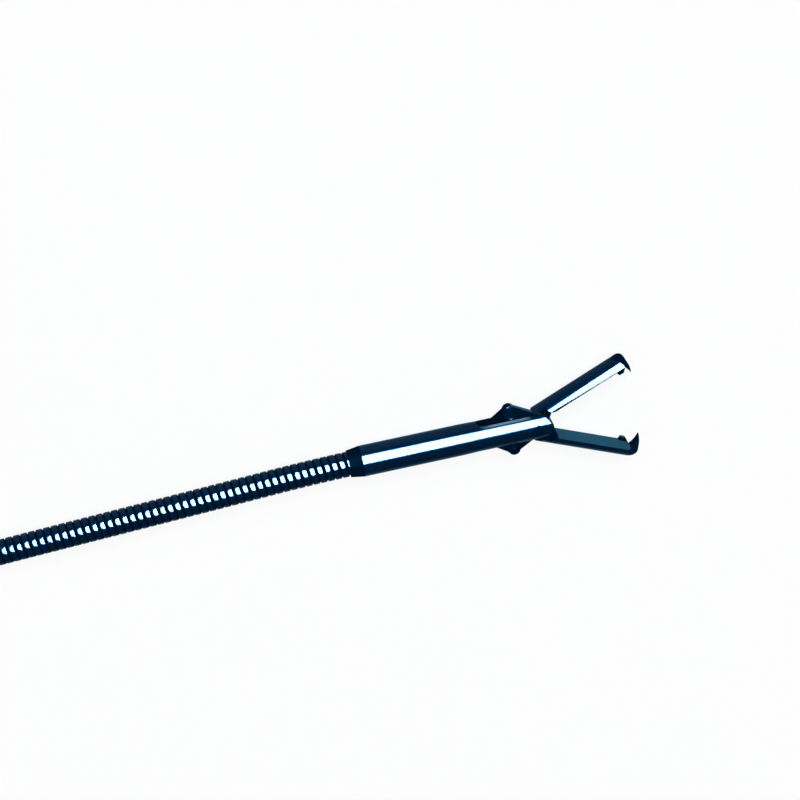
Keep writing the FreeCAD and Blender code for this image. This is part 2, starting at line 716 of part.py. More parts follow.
def all_parts():
    jaw = turned(closed_jaw(), pivot_x, 0, -jaw_open_angle)
    tail_pin = turned(closed_tail_pin(), pivot_x, 0, -jaw_open_angle)
    link = open_link()
    parts = {
        "distal_tube": distal_tube(),
        "pivot_pin": pivot_pin(),
        "guide_bush": guide_bush(),
        "lower_jaw": jaw,
        "upper_jaw": half_turned(jaw),
        "lower_jaw_tail_pin": tail_pin,
        "upper_jaw_tail_pin": half_turned(tail_pin),
        "lower_jaw_link": link,
        "upper_jaw_link": half_turned(link),
        "drive_yoke": drive_yoke(),
        "yoke_pin": yoke_pin(),
        "drive_rod": drive_rod(),
        "sheath_head_run": sheath_run(sheath_head_route),
        "sheath_coil": sheath_coil(),
        "sheath_handle_run": sheath_run(sheath_handle_route),
        "coil_tie": coil_tie(),
    }
    for make in (strain_relief, sheath_ferrule, nose_cap, collet, handle_body, spool_front, spool_rear,
                 cross_pin, anchor_block, set_screw, pull_tube):
        parts[make.__name__] = placed_on_handle(make())
    return parts


os.makedirs("parts", exist_ok=True)
for name, shape in all_parts().items():
    shape.exportStep("parts/" + name + ".step")
print("pivot x %.4f, yoke pin x %.4f" % (pivot_x, yoke_x_open))
print("yoke stroke %.4f, link turns %.3f degrees, jaw turns %.3f degrees"
      % (yoke_x_open - yoke_x_closed, link_angle_open - link_angle_closed, jaw_open_angle))
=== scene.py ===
import math
import bmesh
import bpy
from mathutils import Matrix, Vector


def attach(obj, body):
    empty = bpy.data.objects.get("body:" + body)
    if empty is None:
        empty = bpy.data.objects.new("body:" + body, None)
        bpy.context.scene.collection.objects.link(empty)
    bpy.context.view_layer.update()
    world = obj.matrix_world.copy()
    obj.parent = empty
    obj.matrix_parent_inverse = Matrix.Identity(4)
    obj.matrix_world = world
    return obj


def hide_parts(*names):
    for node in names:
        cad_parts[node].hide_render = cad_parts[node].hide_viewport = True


# Endoscopic biopsy forceps on a white table. Metres, in the frame of the solids: X along the
# tool towards the jaws, Z up, the jaws' hinges along Z.
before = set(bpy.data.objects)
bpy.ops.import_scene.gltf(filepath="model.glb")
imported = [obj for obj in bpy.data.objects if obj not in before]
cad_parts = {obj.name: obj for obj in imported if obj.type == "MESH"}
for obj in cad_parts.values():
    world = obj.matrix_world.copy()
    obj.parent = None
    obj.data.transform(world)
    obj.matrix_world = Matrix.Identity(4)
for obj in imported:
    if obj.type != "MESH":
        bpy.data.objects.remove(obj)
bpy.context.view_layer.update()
mm = 0.001

# Sheath: a close-wound coil of flat wire. The wire is shaped near both ends, and in the put-away
# turns between them it is only in the finish, whose grooves carry painted shade.
sheath_radius = 0.925 * mm
wire_pitch = 0.553 * mm
wire_groove = 0.13 * mm
wire_squareness = 4
shaped_at_head = 49.0 * mm
shaped_at_handle = 25.0 * mm
shaped_overlap = 1.5 * wire_pitch
plain_step = 1.3 * mm
tie_easing = 0.08 * mm

# The sheath's route and its put-away turns, in millimetres. The steps are the shares of a turn
# over which it moves to the next column and to the next layer.
head_route = ((-3.7, 0.0, 0.0), (-7.5, 0.0, 0.0), (-15.0, -0.38, 0.0), (-30.0, -1.04, 0.0),
              (-40.0, -1.52, 0.0), (-49.0, -1.70, 0.0))
handle_route = ((-49.0, 2.0, 5.55), (-53.5, 2.0, 5.55), (-58.2, 3.71, 5.55), (-62.03, 6.92, 5.55),
                (-66.73, 8.63, 5.55), (-74.5, 8.63, 5.55))
coil_centre = (-49.0, 15.375)
coil_outer_turn = 17.075
coil_turn_gap = 1.85
coil_turn_order = ((0, 1, 2, 3, 4), (4, 3, 2, 1, 0), (0, 1, 2, 3, 4), (4, 3))
coil_exit_column = 2
points_per_turn = 16
column_step = (0.45, 0.75)
layer_step = (0.75, 1.0)

# Jaws, open on their hinge. The short half of each has a narrow flat on its outside, which runs
# deeper towards the tip, and the tail's edges are rounded.
hinge = Vector((8.85 * mm, 0.0, 0.0))
jaw_open_angle = 23.5
jaw_radius = 0.90 * mm
jaw_axis_offset = 0.35 * mm
tooth_start = 6.0 * mm
tail_reach = 3.1 * mm
tail_easing = 0.1 * mm
jaw_flat_angle = 25.5
jaw_flat_start = 1.5 * mm
jaw_flat_depth = 0.0075 * mm
jaw_flat_slope = 0.0042

# Distal tube: the lengths at which its outline turns, the round ends of its two arms, given
# painted shade, and the painted highlight along its slot
tube_radius = 1.15 * mm
tube_ridges = (-4.2 * mm, 3.3 * mm, 4.4 * mm)
shaded_rim_width = 0.13 * mm
shaded_rim_blend = 0.02 * mm
glint_front = (4.6 * mm, 5.6 * mm)
glint_rear = (8.5 * mm, 8.0 * mm)
glint_height = (0.86 * mm, 0.90 * mm)
soft_start = (0.0, 0.1 * mm)

# Handle, measured back from the strain relief's tip, and its moulded grip rings, in millimetres
handle_tip = (-70.0, 8.63, 5.55)
nose_rings_start = 14.6
nose_rings_radius = 5.14
nose_rings_growth = 0.5
nose_ring_gap = 2.0
nose_ring_count = 3
spool_middle = 45.55
barrel_half_width = 7.0
barrel_half_height = 6.0
barrel_ring_gap = 2.9
barrel_ring_count = 4
ring_radius = 0.35

# What counts as one point, one plane, a fold and a face of a round
same_point = 0.0005 * mm
same_length = 0.001 * mm
cut_reach = 0.0002 * mm
one_plane_angle = 0.3
fold_angle = 60.0
crease_angle = 32.0
same_way = 0.99995
straight_up = 0.99
straight_inward = 0.98
tooth_inward = 0.6
radius_play = (-0.036 * mm, 0.004 * mm)
round_facing = 0.985

# Camera and light
camera_place = Vector((-13.301, 68.902, 120.148)) * mm
camera_target = Vector((-0.733, 4.243, -0.066)) * mm
camera_up = Vector((0.2068, 0.8705, -0.4466))
focal_px = 1907.5
picture_px = 800
film_width = 36.0
softbox_distance = 4.0
sheen_distance = 4.2
softbox_tilt = 33.0
softbox_lean = 1.0
softbox_half_width = 16.0
softbox_half_length = 31.0
softbox_radiance = 6.2
sheen_radiance = 230.0
sky_tone = (0.85, 0.93, 1.0, 1.0)
sky_strength = 0.25
floor_height = -tube_radius
floor_size = 12.0
floor_white = (0.95, 0.95, 0.95, 1.0)
floor_roughness = 0.9
floor_glow = 0.85


class Socket:
    """A node's output that takes part in arithmetic."""

    def __init__(self, finish, output):
        self.finish = finish
        self.output = output

    def math(self, operation, first, second=None):
        return self.finish.node("ShaderNodeMath", {"operation": operation}, {0: first, 1: second})

    def __add__(self, other):
        return self.math("ADD", self, other)

    def __radd__(self, other):
        return self.math("ADD", other, self)

    def __sub__(self, other):
        return self.math("SUBTRACT", self, other)

    def __rsub__(self, other):
        return self.math("SUBTRACT", other, self)

    def __mul__(self, other):
        return self.math("MULTIPLY", self, other)

    def __rmul__(self, other):
        return self.math("MULTIPLY", other, self)

    def __truediv__(self, other):
        return self.math("DIVIDE", self, other)

    def power(self, other):
        return self.math("POWER", self, other)

    def fraction(self):
        return self.math("FRACT", self)

    def distance(self):
        return self.math("ABSOLUTE", self)

    def at_least(self, other):
        return self.math("MAXIMUM", self, other)

    def at_most(self, other):
        return self.math("MINIMUM", self, other)

    def ramp(self, start, end):
        """0 at the start and before it, rising to 1 at the end and beyond."""
        return ((self - start) / (end - start)).at_least(0.0).at_most(1.0)


class Graph:
    """A tree of nodes, and how its nodes are made and joined."""

    def __init__(self, tree):
        self.tree = tree

    def feed(self, target, value):
        if isinstance(value, Socket):
            self.tree.links.new(value.output, target)
        elif value is not None:
            target.default_value = value

    def node(self, kind, settings=None, sockets=None, output=0):
        made = self.tree.nodes.new(kind)
        for name, value in (settings or {}).items():
            setattr(made, name, value)
        for key, value in (sockets or {}).items():
            self.feed(made.inputs[key], value)
        return Socket(self, made.outputs[output])


class Finish(Graph):
    """A material that is built from nodes."""

    def __init__(self, name, **settings):
        self.material = bpy.data.materials.new(name)
        self.material.use_nodes = True
        super().__init__(self.material.node_tree)
        self.shader = self.tree.nodes["Principled BSDF"]
        for socket, value in settings.items():
            self.set(socket.replace("_", " "), value)

    def set(self, socket, value):
        names = {s.name.lower(): s for s in self.shader.inputs}
        self.feed(names[socket.lower()], value)

    def place(self):
        return self.node("ShaderNodeTexCoord", output="Object")

    def along(self, axis):
        return self.node("ShaderNodeSeparateXYZ", sockets={0: self.place()}, output=axis)

    def marked(self, name):
        """1 on the faces that carry the mark, 0 elsewhere."""
        return self.node("ShaderNodeAttribute", {"attribute_name": name}, output="Fac")

    def noise(self, size, detail=3.0, stretch=(1.0, 1.0, 1.0)):
        """Soft noise from 0 to 1 whose patches are about size across."""
        scaled = self.node("ShaderNodeMapping", {"vector_type": "POINT"},
                           {0: self.place(), 3: [1 / (size * s) for s in stretch]})
        return self.node("ShaderNodeTexNoise",
                         sockets={"Vector": scaled, "Scale": 1.0, "Detail": detail})

    def mix(self, factor, first, second):
        return self.node("ShaderNodeMix", {"data_type": "RGBA"}, {0: factor, 6: first, 7: second}, 2)

    def bump(self, height, distance):
        normal = self.node("ShaderNodeBump",
                           sockets={"Height": height, "Distance": distance, "Strength": 1.0})
        self.set("Normal", normal)


def colour(red, green, blue):
    """A colour given as 0 to 255 for each channel, as the shader wants it."""
    def linear(value):
        value /= 255
        return value / 12.92 if value <= 0.04045 else ((value + 0.055) / 1.055) ** 2.4
    return (linear(red), linear(green), linear(blue), 1.0)


navy = colour(1, 33, 60)
navy_deep = colour(1, 26, 50)
navy_matt = colour(1, 18, 36)
painted_groove_shade = colour(0, 6, 14)
painted_reflection_teal = colour(33, 74, 94)
painted_glint_tone = colour(104, 132, 150)
edge_tint = colour(150, 235, 255)
handle_gloss = 0.02
lacquer = 0.1
blued_metallic = 0.02
polished_metallic = 0.28
ground_metallic = 0.1
matt_roughness = 0.5
polished_roughness = 0.11
wire_metallic = 0.3
wire_roughness = 0.12
groove_roughness = 0.4
groove_start = 0.6
gloss_fall = 3
smear_depth = 0.05
pin_metallic = 0.03
pin_roughness = 0.42
uneven_roughness = 0.08
darker = 0.88
grain_size = 0.3 * mm
grain_depth = 0.004 * mm
steel_base = {"metallic": wire_metallic, "specular_ior_level": 0.0, "specular_tint": edge_tint,
              "coat_weight": lacquer, "coat_roughness": 0.03, "coat_ior": 1.5}


def outside_rim_shade(finish):
    """1 on the tube, 0 on the narrow round that ends each arm, which is given painted shade."""
    ahead = finish.along(0) - hinge.x
    aside = finish.along(1)
    reach = (ahead * ahead + aside * aside).power(0.5)
    rim_start = tube_radius - shaded_rim_width
    rim = reach.ramp(rim_start - shaded_rim_blend, rim_start)
    return 1 - rim * ahead.ramp(*soft_start)


def painted_slot_glint(finish):
    """1 on the painted highlight along the slot's edges on the upper arm, 0 elsewhere."""
    length = finish.along(0)
    ends = length.ramp(*glint_front) * length.ramp(*glint_rear)
    return ends * finish.along(1).distance().ramp(*glint_height) * finish.along(2).ramp(*soft_start)


def blued_steel(name, arms=False):
    """Steel with a dark blue finish, lacquered where polished, with a painted blue-green reflection on
    the faces towards the other jaw; on the arms, painted shade on their round ends and a painted
    highlight along the slot's edge.
    """
    finish = Finish(name, **steel_base)
    ground = finish.marked("ground")
    patches = finish.noise(1.6 * mm)
    polished = finish.marked("polished")
    # On the arms, the narrow round at each end loses its polish and takes the dark matt navy: painted
    # shade.
    if arms:
        polished = polished * outside_rim_shade(finish)
    blued = finish.mix(polished, navy_matt, finish.mix(patches, navy_deep, navy))
    if arms:
        # Painted highlight: a lighter grey-blue strip along the slot's edge on the upper arm.
        blued = finish.mix(painted_slot_glint(finish), blued, painted_glint_tone)
    # Painted reflection: the faces towards the other jaw take a lighter blue-green.
    finish.set("Base Color", finish.mix(ground, blued, painted_reflection_teal))
    smears = finish.noise(0.5 * mm, detail=4.0, stretch=(4.0, 1.0, 1.0))
    smooth = matt_roughness - polished * (matt_roughness - polished_roughness)
    finish.set("Roughness", smooth + smear_depth * smears)
    finish.set("Metallic", blued_metallic + polished * polished_metallic + ground * ground_metallic)
    finish.set("Coat Weight", polished * lacquer)
    return finish.material


def pin_finish(name):
    """Blued steel with no lacquer, for the small riveted pins."""
    finish = Finish(name, metallic=pin_metallic, specular_ior_level=0.0, specular_tint=edge_tint)
    patches = finish.noise(0.8 * mm)
    finish.set("Base Color", finish.mix(patches, navy_matt, navy_deep))
    finish.set("Roughness", pin_roughness + uneven_roughness * finish.noise(0.3 * mm))
    return finish.material


def wire_steel(name):
    """The sheath's wire: blued steel, duller in the grooves between the turns, which get painted shade.
    """
    finish = Finish(name, **steel_base)
    turn = finish.node("ShaderNodeUVMap", {"uv_map": "winding"})
    place = finish.node("ShaderNodeSeparateXYZ", sockets={0: turn}, output=0)
    from_crown = (place.fraction() - 0.5).distance() * 2
    groove = (from_crown - groove_start).at_least(0.0) / (1 - groove_start)
    patches = finish.noise(2.5 * mm)
    blued = finish.mix(patches, navy_deep, navy)
    # Painted shade: the grooves between the turns are darkened nearly to black.
    finish.set("Base Color", finish.mix(groove, blued, painted_groove_shade))
    finish.set("Roughness", wire_roughness + groove * groove_roughness)
    crown = (1 - groove * gloss_fall).at_least(0.0)
    finish.set("Metallic", crown * wire_metallic)
    finish.set("Coat Weight", crown * lacquer)
    return finish.material


def make_object(name, mesh):
    made = bpy.data.objects.new(name, mesh)
    bpy.context.scene.collection.objects.link(made)
    return made


def jaw_swing(turned):
    """The turn that brings a jaw from the tool's axis to where it stands open."""
    swing = Matrix.Rotation(math.radians(-jaw_open_angle), 4, "Z")
    if turned:
        swing = Matrix.Rotation(math.pi, 4, "X") @ swing
    return swing


def jaw_flat(turned):
    """Where the short half of a jaw is ground flat: a place on the plane and its outward normal."""
    angle = math.radians(jaw_flat_angle)
    normal = Vector((jaw_flat_slope, -math.sin(angle), -math.cos(angle)))
    outward = Vector((0.0, -math.sin(angle), -math.cos(angle)))
    place = Vector((jaw_flat_start, -jaw_axis_offset, 0.0)) + outward * (jaw_radius - jaw_flat_depth)
    swing = jaw_swing(turned)
    return hinge + swing @ place, (swing.to_3x3() @ normal).normalized()


def jaw_round(turned):
    """A place on the axis, the direction and the radius of the cylinder that a jaw's outside is on."""
    swing = jaw_swing(turned)
    axis_place = hinge + swing @ Vector((0.0, -jaw_axis_offset, 0.0))
    return axis_place, (swing.to_3x3() @ Vector((1.0, 0.0, 0.0))).normalized(), jaw_radius


def ground_flat(shape, place, normal):
    """Grind a flat whose plane goes through the place."""
    geometry = shape.verts[:] + shape.edges[:] + shape.faces[:]
    cut = bmesh.ops.bisect_plane(shape, geom=geometry, dist=cut_reach, plane_co=place,
                                 plane_no=normal, clear_outer=True)
    rim = [item for item in cut["geom_cut"] if isinstance(item, bmesh.types.BMEdge)]
    bmesh.ops.edgeloop_fill(shape, edges=rim)


def join_flat(shape, verts, edges):
    """Make one face of each flat that is split into triangles."""
    bmesh.ops.dissolve_limit(shape, angle_limit=math.radians(one_plane_angle), verts=verts,
                             edges=edges)


def folds(shape):
    """The sharp edges that stand out."""
    return [edge for edge in shape.edges if len(edge.link_faces) == 2 and edge.is_convex
            and edge.calc_face_angle() >= math.radians(fold_angle)]


def ease(shape, edges, radius):
    """Round the edges and give the faces of the rounds."""
    eased = bmesh.ops.bevel(shape, geom=edges, offset=radius, segments=3, profile=0.5,
                            affect="EDGES", clamp_overlap=True)
    return eased["faces"]


def ease_tail(shape):
    """Round the edges of the faces on a jaw's tail that look up, and mark the rounds as polished."""
    polished = shape.faces.layers.float.new("polished")
    tail = {face for face in shape.faces if (face.calc_center_median() - hinge).length < tail_reach}
    join_flat(shape, [vert for vert in shape.verts if not tail.isdisjoint(vert.link_faces)],
              [edge for edge in shape.edges if not tail.isdisjoint(edge.link_faces)])
    rims = [edge for edge in folds(shape)
            if all((vert.co - hinge).length < tail_reach for vert in edge.verts)
            and max(face.normal.z for face in edge.link_faces) > straight_up]
    for face in ease(shape, rims, tail_easing):
        face[polished] = 1.0
    bmesh.ops.dissolve_degenerate(shape, dist=same_point, edges=shape.edges)


def ease_strap(shape):
    """Round the outer edges of the coil's tie."""
    join_flat(shape, shape.verts, shape.edges)
    ease(shape, folds(shape), tie_easing)


def mark_ridges(mesh, ridges):
    """Keep the edges that lie on a ridge sharp."""
    for edge in mesh.edges:
        ends = [mesh.vertices[v].co.x for v in edge.vertices]
        if any(max(abs(end - ridge) for end in ends) < same_length for ridge in ridges):
            edge.use_edge_sharp = True


def grind_faces(mesh, turned, flat_normal):
    """Make a jaw's ground faces true flats, and mark those towards the other jaw as ground, where the
    painted blue-green reflection goes.
    """
    inward = jaw_swing(turned).to_3x3() @ Vector((0.0, 1.0, 0.0))
    ground = mesh.attributes.new("ground", "FLOAT", "FACE")
    for face in mesh.polygons:
        towards = face.normal.dot(inward)
        least = tooth_inward if (face.center - hinge).length > tooth_start else straight_inward
        ground.data[face.index].value = 1.0 if towards > least else 0.0
        if towards > straight_inward or face.normal.dot(flat_normal) > same_way:
            face.use_smooth = False


def shade_round(mesh, axis_place, direction, radius):
    """Give the faces on a cylinder its own normals, so that gloss runs true. Gives those faces."""
    normals = [corner.vector.copy() for corner in mesh.corner_normals]
    on_round = set()

    def outward(vertex):
        offset = vertex.co - axis_place
        return offset - direction * offset.dot(direction)

    for face in mesh.polygons:
        offsets = [outward(mesh.vertices[v]) for v in face.vertices]
        at_radius = all(radius_play[0] < offset.length - radius < radius_play[1] for offset in offsets)
        middle = sum(offsets, Vector()).normalized()
        if at_radius and face.use_smooth and middle.dot(face.normal) > round_facing:
            on_round.add(face.index)
            for loop, offset in zip(face.loop_indices, offsets):
                normals[loop] = offset.normalized()
        elif not face.use_smooth:
            for loop in face.loop_indices:
                normals[loop] = face.normal.copy()
    mesh.normals_split_custom_set(normals)
    return on_round


def mark_polished(mesh, on_round, flat_normal):
    """Mark the round outside, and the flat on a jaw's short half, as polished."""
    polished = mesh.attributes.get("polished") or mesh.attributes.new("polished", "FLOAT", "FACE")
    for face in mesh.polygons:
        bright = face.index in on_round or polished.data[face.index].value > 0.5
        if flat_normal:
            bright = bright or face.normal.dot(flat_normal) > same_way
        polished.data[face.index].value = 1.0 if bright else 0.0


def finished_copy(node, body, material, ridges=(), flat=None, rounded=None, turned=False):
    """A node's own form with smooth rounds. It stands for the node."""
    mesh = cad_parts[node].data.copy()
    shape = bmesh.new()
    shape.from_mesh(mesh)
    bmesh.ops.remove_doubles(shape, verts=shape.verts, dist=same_point)
    if flat:
        ground_flat(shape, *flat)
        ease_tail(shape)
    if node == "coil_tie":
        ease_strap(shape)
    shape.to_mesh(mesh)
    shape.free()
    mesh.materials.clear()
    mesh.materials.append(material)
    mesh.shade_smooth()
    mesh.set_sharp_from_angle(angle=math.radians(crease_angle))
    mark_ridges(mesh, ridges)
    flat_normal = flat[1] if flat else None
    if flat:
        grind_faces(mesh, turned, flat_normal)
    if rounded:
        mark_polished(mesh, shade_round(mesh, *rounded), flat_normal)
    copy = make_object(node + "_finished", mesh)
    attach(copy, body)
    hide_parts(node)
    return copy


def coil_points():
    """The put-away turns, as more points of the sheath's own line, after the run's last point."""
    outward = 1 / math.cos(math.pi / points_per_turn)
    turns = [(layer, column) for layer, columns in enumerate(coil_turn_order) for column in columns]
    turns.append((len(coil_turn_order) - 1, coil_exit_column))
    points = []
    for turn, (layer, column) in enumerate(turns[:-1]):
        next_layer, next_column = turns[turn + 1]
        for step in range(points_per_turn):
            share = step / points_per_turn
            sideways = min(max((share - column_step[0]) / (column_step[1] - column_step[0]), 0), 1)
            upwards = min(max((share - layer_step[0]) / (layer_step[1] - layer_step[0]), 0), 1)
            radius = coil_outer_turn - coil_turn_gap * (column + sideways * (next_column - column))
            height = (layer + upwards * (next_layer - layer)) * coil_turn_gap
            angle = -math.pi / 2 - 2 * math.pi * share
            points.append((coil_centre[0] + outward * radius * math.cos(angle),
                           coil_centre[1] + outward * radius * math.sin(angle), height))
    return points[1:]


def sheath_line():
    """The sheath's centre line: one smooth spline, as the points along it."""
    route = list(head_route) + coil_points() + list(handle_route)
    curve = bpy.data.curves.new("sheath_line", "CURVE")
    curve.dimensions = "3D"
    curve.resolution_u = 8
    spline = curve.splines.new("NURBS")
    spline.points.add(len(route) - 1)
    for point, place in zip(spline.points, route):
        point.co = (place[0] * mm, place[1] * mm, place[2] * mm, 1.0)
    spline.order_u = 3
    spline.use_endpoint_u = True
    line = make_object("sheath_line", curve)
    mesh = bpy.data.meshes.new_from_object(line)
    points = [v.co.copy() for v in mesh.vertices]
    bpy.data.objects.remove(line)
    bpy.data.meshes.remove(mesh)
    return points


class Path:
    """A line through points that gives the place and the directions at any length along it."""

    def __init__(self, points):
        self.points = points
        self.lengths = [0.0]
        for a, b in zip(points, points[1:]):
            self.lengths.append(self.lengths[-1] + (b - a).length)
        self.total = self.lengths[-1]
        self.index = 0

    def at(self, length):
        length = min(max(length, 0.0), self.total)
        while self.index > 0 and self.lengths[self.index] > length:
            self.index -= 1
        while self.index < len(self.points) - 2 and self.lengths[self.index + 1] < length:
            self.index += 1
        start, end = self.points[self.index], self.points[self.index + 1]
        share = (length - self.lengths[self.index]) / (end - start).length
        place = start.lerp(end, share)
        tangent = self.tangent(self.index).lerp(self.tangent(self.index + 1), share).normalized()
        up = (Vector((0, 0, 1)) - tangent * tangent.z).normalized()
        return place, up, tangent.cross(up)

    def tangent(self, index):
        before = self.points[max(index - 1, 0)]
        after = self.points[min(index + 1, len(self.points) - 1)]
        return (after - before).normalized()


def wire_profile(share):
    """How far the surface lies under the crown: 0 on the middle of the wire, 1 in the groove."""
    from_crown = abs(share - 0.5) * 2
    return 1 - (1 - from_crown ** wire_squareness) ** (1 / wire_squareness)


def wound_sleeve(shape, path, start, end, around=24, across=8):
    """A stretch of close-wound wire: one long ribbon with a flat crown, turn against turn."""
    uv = shape.loops.layers.uv["winding"]
    turns = int((end - start) / wire_pitch)
    rows = []
    for j in range(turns * around + 1):
        angle = 2 * math.pi * j / around
        row = []
        for i in range(across):
            place, up, side = path.at(start + wire_pitch * (j / around + i / across))
            radius = sheath_radius - wire_groove * wire_profile(i / across)
            row.append(shape.verts.new(place + (up * math.cos(angle) + side * math.sin(angle)) * radius))
        rows.append(row)
    for j in range((turns - 1) * around):
        low = rows[j] + [rows[j + around][0]]
        high = rows[j + 1] + [rows[j + 1 + around][0]]
        for i in range(across):
            face = shape.faces.new((low[i], low[i + 1], high[i + 1], high[i]))
            face.smooth = True
            for loop, share in zip(face.loops, (i, i + 1, i + 1, i)):
                loop[uv].uv = (share / across, 0.0)


def plain_sleeve(shape, path, start, end, around=12):
    """A stretch of the put-away coil, with the wire's turns and their painted groove shade left to the
    finish.
    """
    uv = shape.loops.layers.uv["winding"]
    count = int((end - start) / plain_step)
    rings = []
    for j in range(count + 1):
        length = start + (end - start) * j / count
        place, up, side = path.at(length)
        ring = []
        for i in range(around):
            angle = 2 * math.pi * i / around
            offset = (up * math.cos(angle) + side * math.sin(angle)) * sheath_radius
            ring.append(shape.verts.new(place + offset))
        rings.append((length / wire_pitch, ring))
    for (low_turn, low), (high_turn, high) in zip(rings, rings[1:]):
        for i in range(around):
            k = (i + 1) % around
            face = shape.faces.new((low[i], high[i], high[k], low[k]))
            face.smooth = True
            shares = ((low_turn, i), (high_turn, i), (high_turn, i + 1), (low_turn, i + 1))
            for loop, (turn, slice_number) in zip(face.loops, shares):
                loop[uv].uv = (turn - slice_number / around, 0.0)


def make_sheath(material):
    points = sheath_line()
    path = Path(points)
    shape = bmesh.new()
    shape.loops.layers.uv.new("winding")
    handle_start = path.total - shaped_at_handle
    wound_sleeve(shape, path, 0.0, shaped_at_head)
    plain_sleeve(shape, path, shaped_at_head - shaped_overlap, handle_start + shaped_overlap)
    wound_sleeve(shape, path, handle_start, path.total)
    bmesh.ops.edgeloop_fill(shape, edges=[edge for edge in shape.edges if edge.is_boundary])
    mesh = bpy.data.meshes.new("sheath")
    bmesh.ops.recalc_face_normals(shape, faces=shape.faces)
    shape.to_mesh(mesh)
    shape.free()
    mesh.materials.append(material)
    sheath = make_object("sheath", mesh)
    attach(sheath, "frame")
    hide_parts("sheath_head_run", "sheath_coil", "sheath_handle_run")


def handle_finish(name, tone, roughness, metallic=0.0):
    """A moulded or turned finish with a fine grain."""
    finish = Finish(name, metallic=metallic, specular_ior_level=handle_gloss)
    patches = finish.noise(8.0 * mm)
    dark = tuple(channel * darker for channel in tone[:3]) + (1.0,)
    finish.set("Base Color", finish.mix(patches, dark, tone))
    finish.set("Roughness", roughness + uneven_roughness * finish.noise(3.0 * mm))
    finish.bump(finish.noise(grain_size, detail=2.0), grain_depth)
    return finish.material


def ring_tree():
    """Rings around an oval barrel, one after another along X, each a little larger than the last."""
    tree = bpy.data.node_groups.new("grip_rings", "GeometryNodeTree")
    inputs = (("Start", "NodeSocketVector"), ("Count", "NodeSocketInt"), ("Step", "NodeSocketVector"),
              ("Half Width", "NodeSocketFloat"), ("Half Height", "NodeSocketFloat"),
              ("Growth", "NodeSocketFloat"), ("Ring Radius", "NodeSocketFloat"),
              ("Finish", "NodeSocketMaterial"))
    for name, kind in inputs:
        tree.interface.new_socket(name=name, in_out="INPUT", socket_type=kind)
    tree.interface.new_socket(name="Rings", in_out="OUTPUT", socket_type="NodeSocketGeometry")
    graph = Graph(tree)
    source = tree.nodes.new("NodeGroupInput")
    given = {name: Socket(graph, source.outputs[name]) for name, kind in inputs}
    oval = graph.node("ShaderNodeCombineXYZ",
                      sockets={0: given["Half Height"], 1: given["Half Width"], 2: 1.0})
    circle = graph.node("GeometryNodeCurvePrimitiveCircle", sockets={"Resolution": 72, "Radius": 1.0})
    path = graph.node("GeometryNodeTransform", sockets={"Geometry": circle, "Scale": oval,
                                                        "Rotation": (0.0, math.pi / 2, 0.0)})
    section = graph.node("GeometryNodeCurvePrimitiveCircle",
                         sockets={"Resolution": 10, "Radius": given["Ring Radius"]})
    ring = graph.node("GeometryNodeCurveToMesh", sockets={"Curve": path, "Profile Curve": section})
    row = graph.node("GeometryNodeMeshLine", {"mode": "OFFSET"},
                     {"Count": given["Count"], "Start Location": given["Start"],
                      "Offset": given["Step"]})
    size = graph.node("GeometryNodeInputIndex") * given["Growth"] + 1.0
    rings = graph.node("GeometryNodeInstanceOnPoints",
                       sockets={"Points": row, "Instance": ring, "Scale": size})
    solid = graph.node("GeometryNodeRealizeInstances", sockets={0: rings})
    dressed = graph.node("GeometryNodeSetMaterial",
                         sockets={"Geometry": solid, "Material": given["Finish"]})
    graph.feed(tree.nodes.new("NodeGroupOutput").inputs[0], dressed)
    return tree


def grip_rings(tree, name, body, material, behind_tip, count, gap, half_width, half_height, growth=0.0):
    """One mesh of moulded rings, the first so far behind the handle's tip. Millimetres."""
    tip_x, tip_y, tip_z = handle_tip
    sizes = {"Start": ((tip_x - behind_tip) * mm, tip_y * mm, tip_z * mm), "Count": count,
             "Step": (-gap * mm, 0.0, 0.0), "Half Width": half_width * mm,
             "Half Height": half_height * mm, "Growth": growth, "Ring Radius": ring_radius * mm,
             "Finish": material}
    holder = make_object(name + "_maker", bpy.data.meshes.new(name + "_start"))
    maker = holder.modifiers.new("rings", "NODES")
    maker.node_group = tree
    for item in tree.interface.items_tree:
        if item.in_out == "INPUT":
            maker[item.identifier] = sizes[item.name]
    ready = holder.evaluated_get(bpy.context.evaluated_depsgraph_get())
    mesh = bpy.data.meshes.new_from_object(ready)
    bpy.data.objects.remove(holder)
    mesh.shade_smooth()
    rings = make_object(name, mesh)
    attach(rings, body)


def make_floor():
    half = floor_size / 2
    mesh = bpy.data.meshes.new("floor")
    corners = [(-half, -half, floor_height), (half, -half, floor_height), (half, half, floor_height),
               (-half, half, floor_height)]
    mesh.from_pydata(corners, [], [(0, 1, 2, 3)])
    finish = Finish("white_table")
    finish.set("Base Color", floor_white)
    finish.set("Roughness", floor_roughness)
    finish.set("Specular IOR Level", 0.0)
    ray = "ShaderNodeLightPath"
    seen = finish.node(ray, output="Is Camera Ray").at_least(finish.node(ray, output="Is Glossy Ray"))
    seen = seen.at_least(finish.node(ray, output="Is Transmission Ray"))
    white = finish.node("ShaderNodeEmission", sockets={"Color": (1.0, 1.0, 1.0, 1.0), "Strength": 1.0})
    table = Socket(finish, finish.shader.outputs[0])
    mixed = finish.node("ShaderNodeMixShader", sockets={0: seen * floor_glow, 1: table, 2: white})
    finish.feed(finish.tree.nodes["Material Output"].inputs["Surface"], mixed)
    mesh.materials.append(finish.material)
    make_object("floor", mesh)


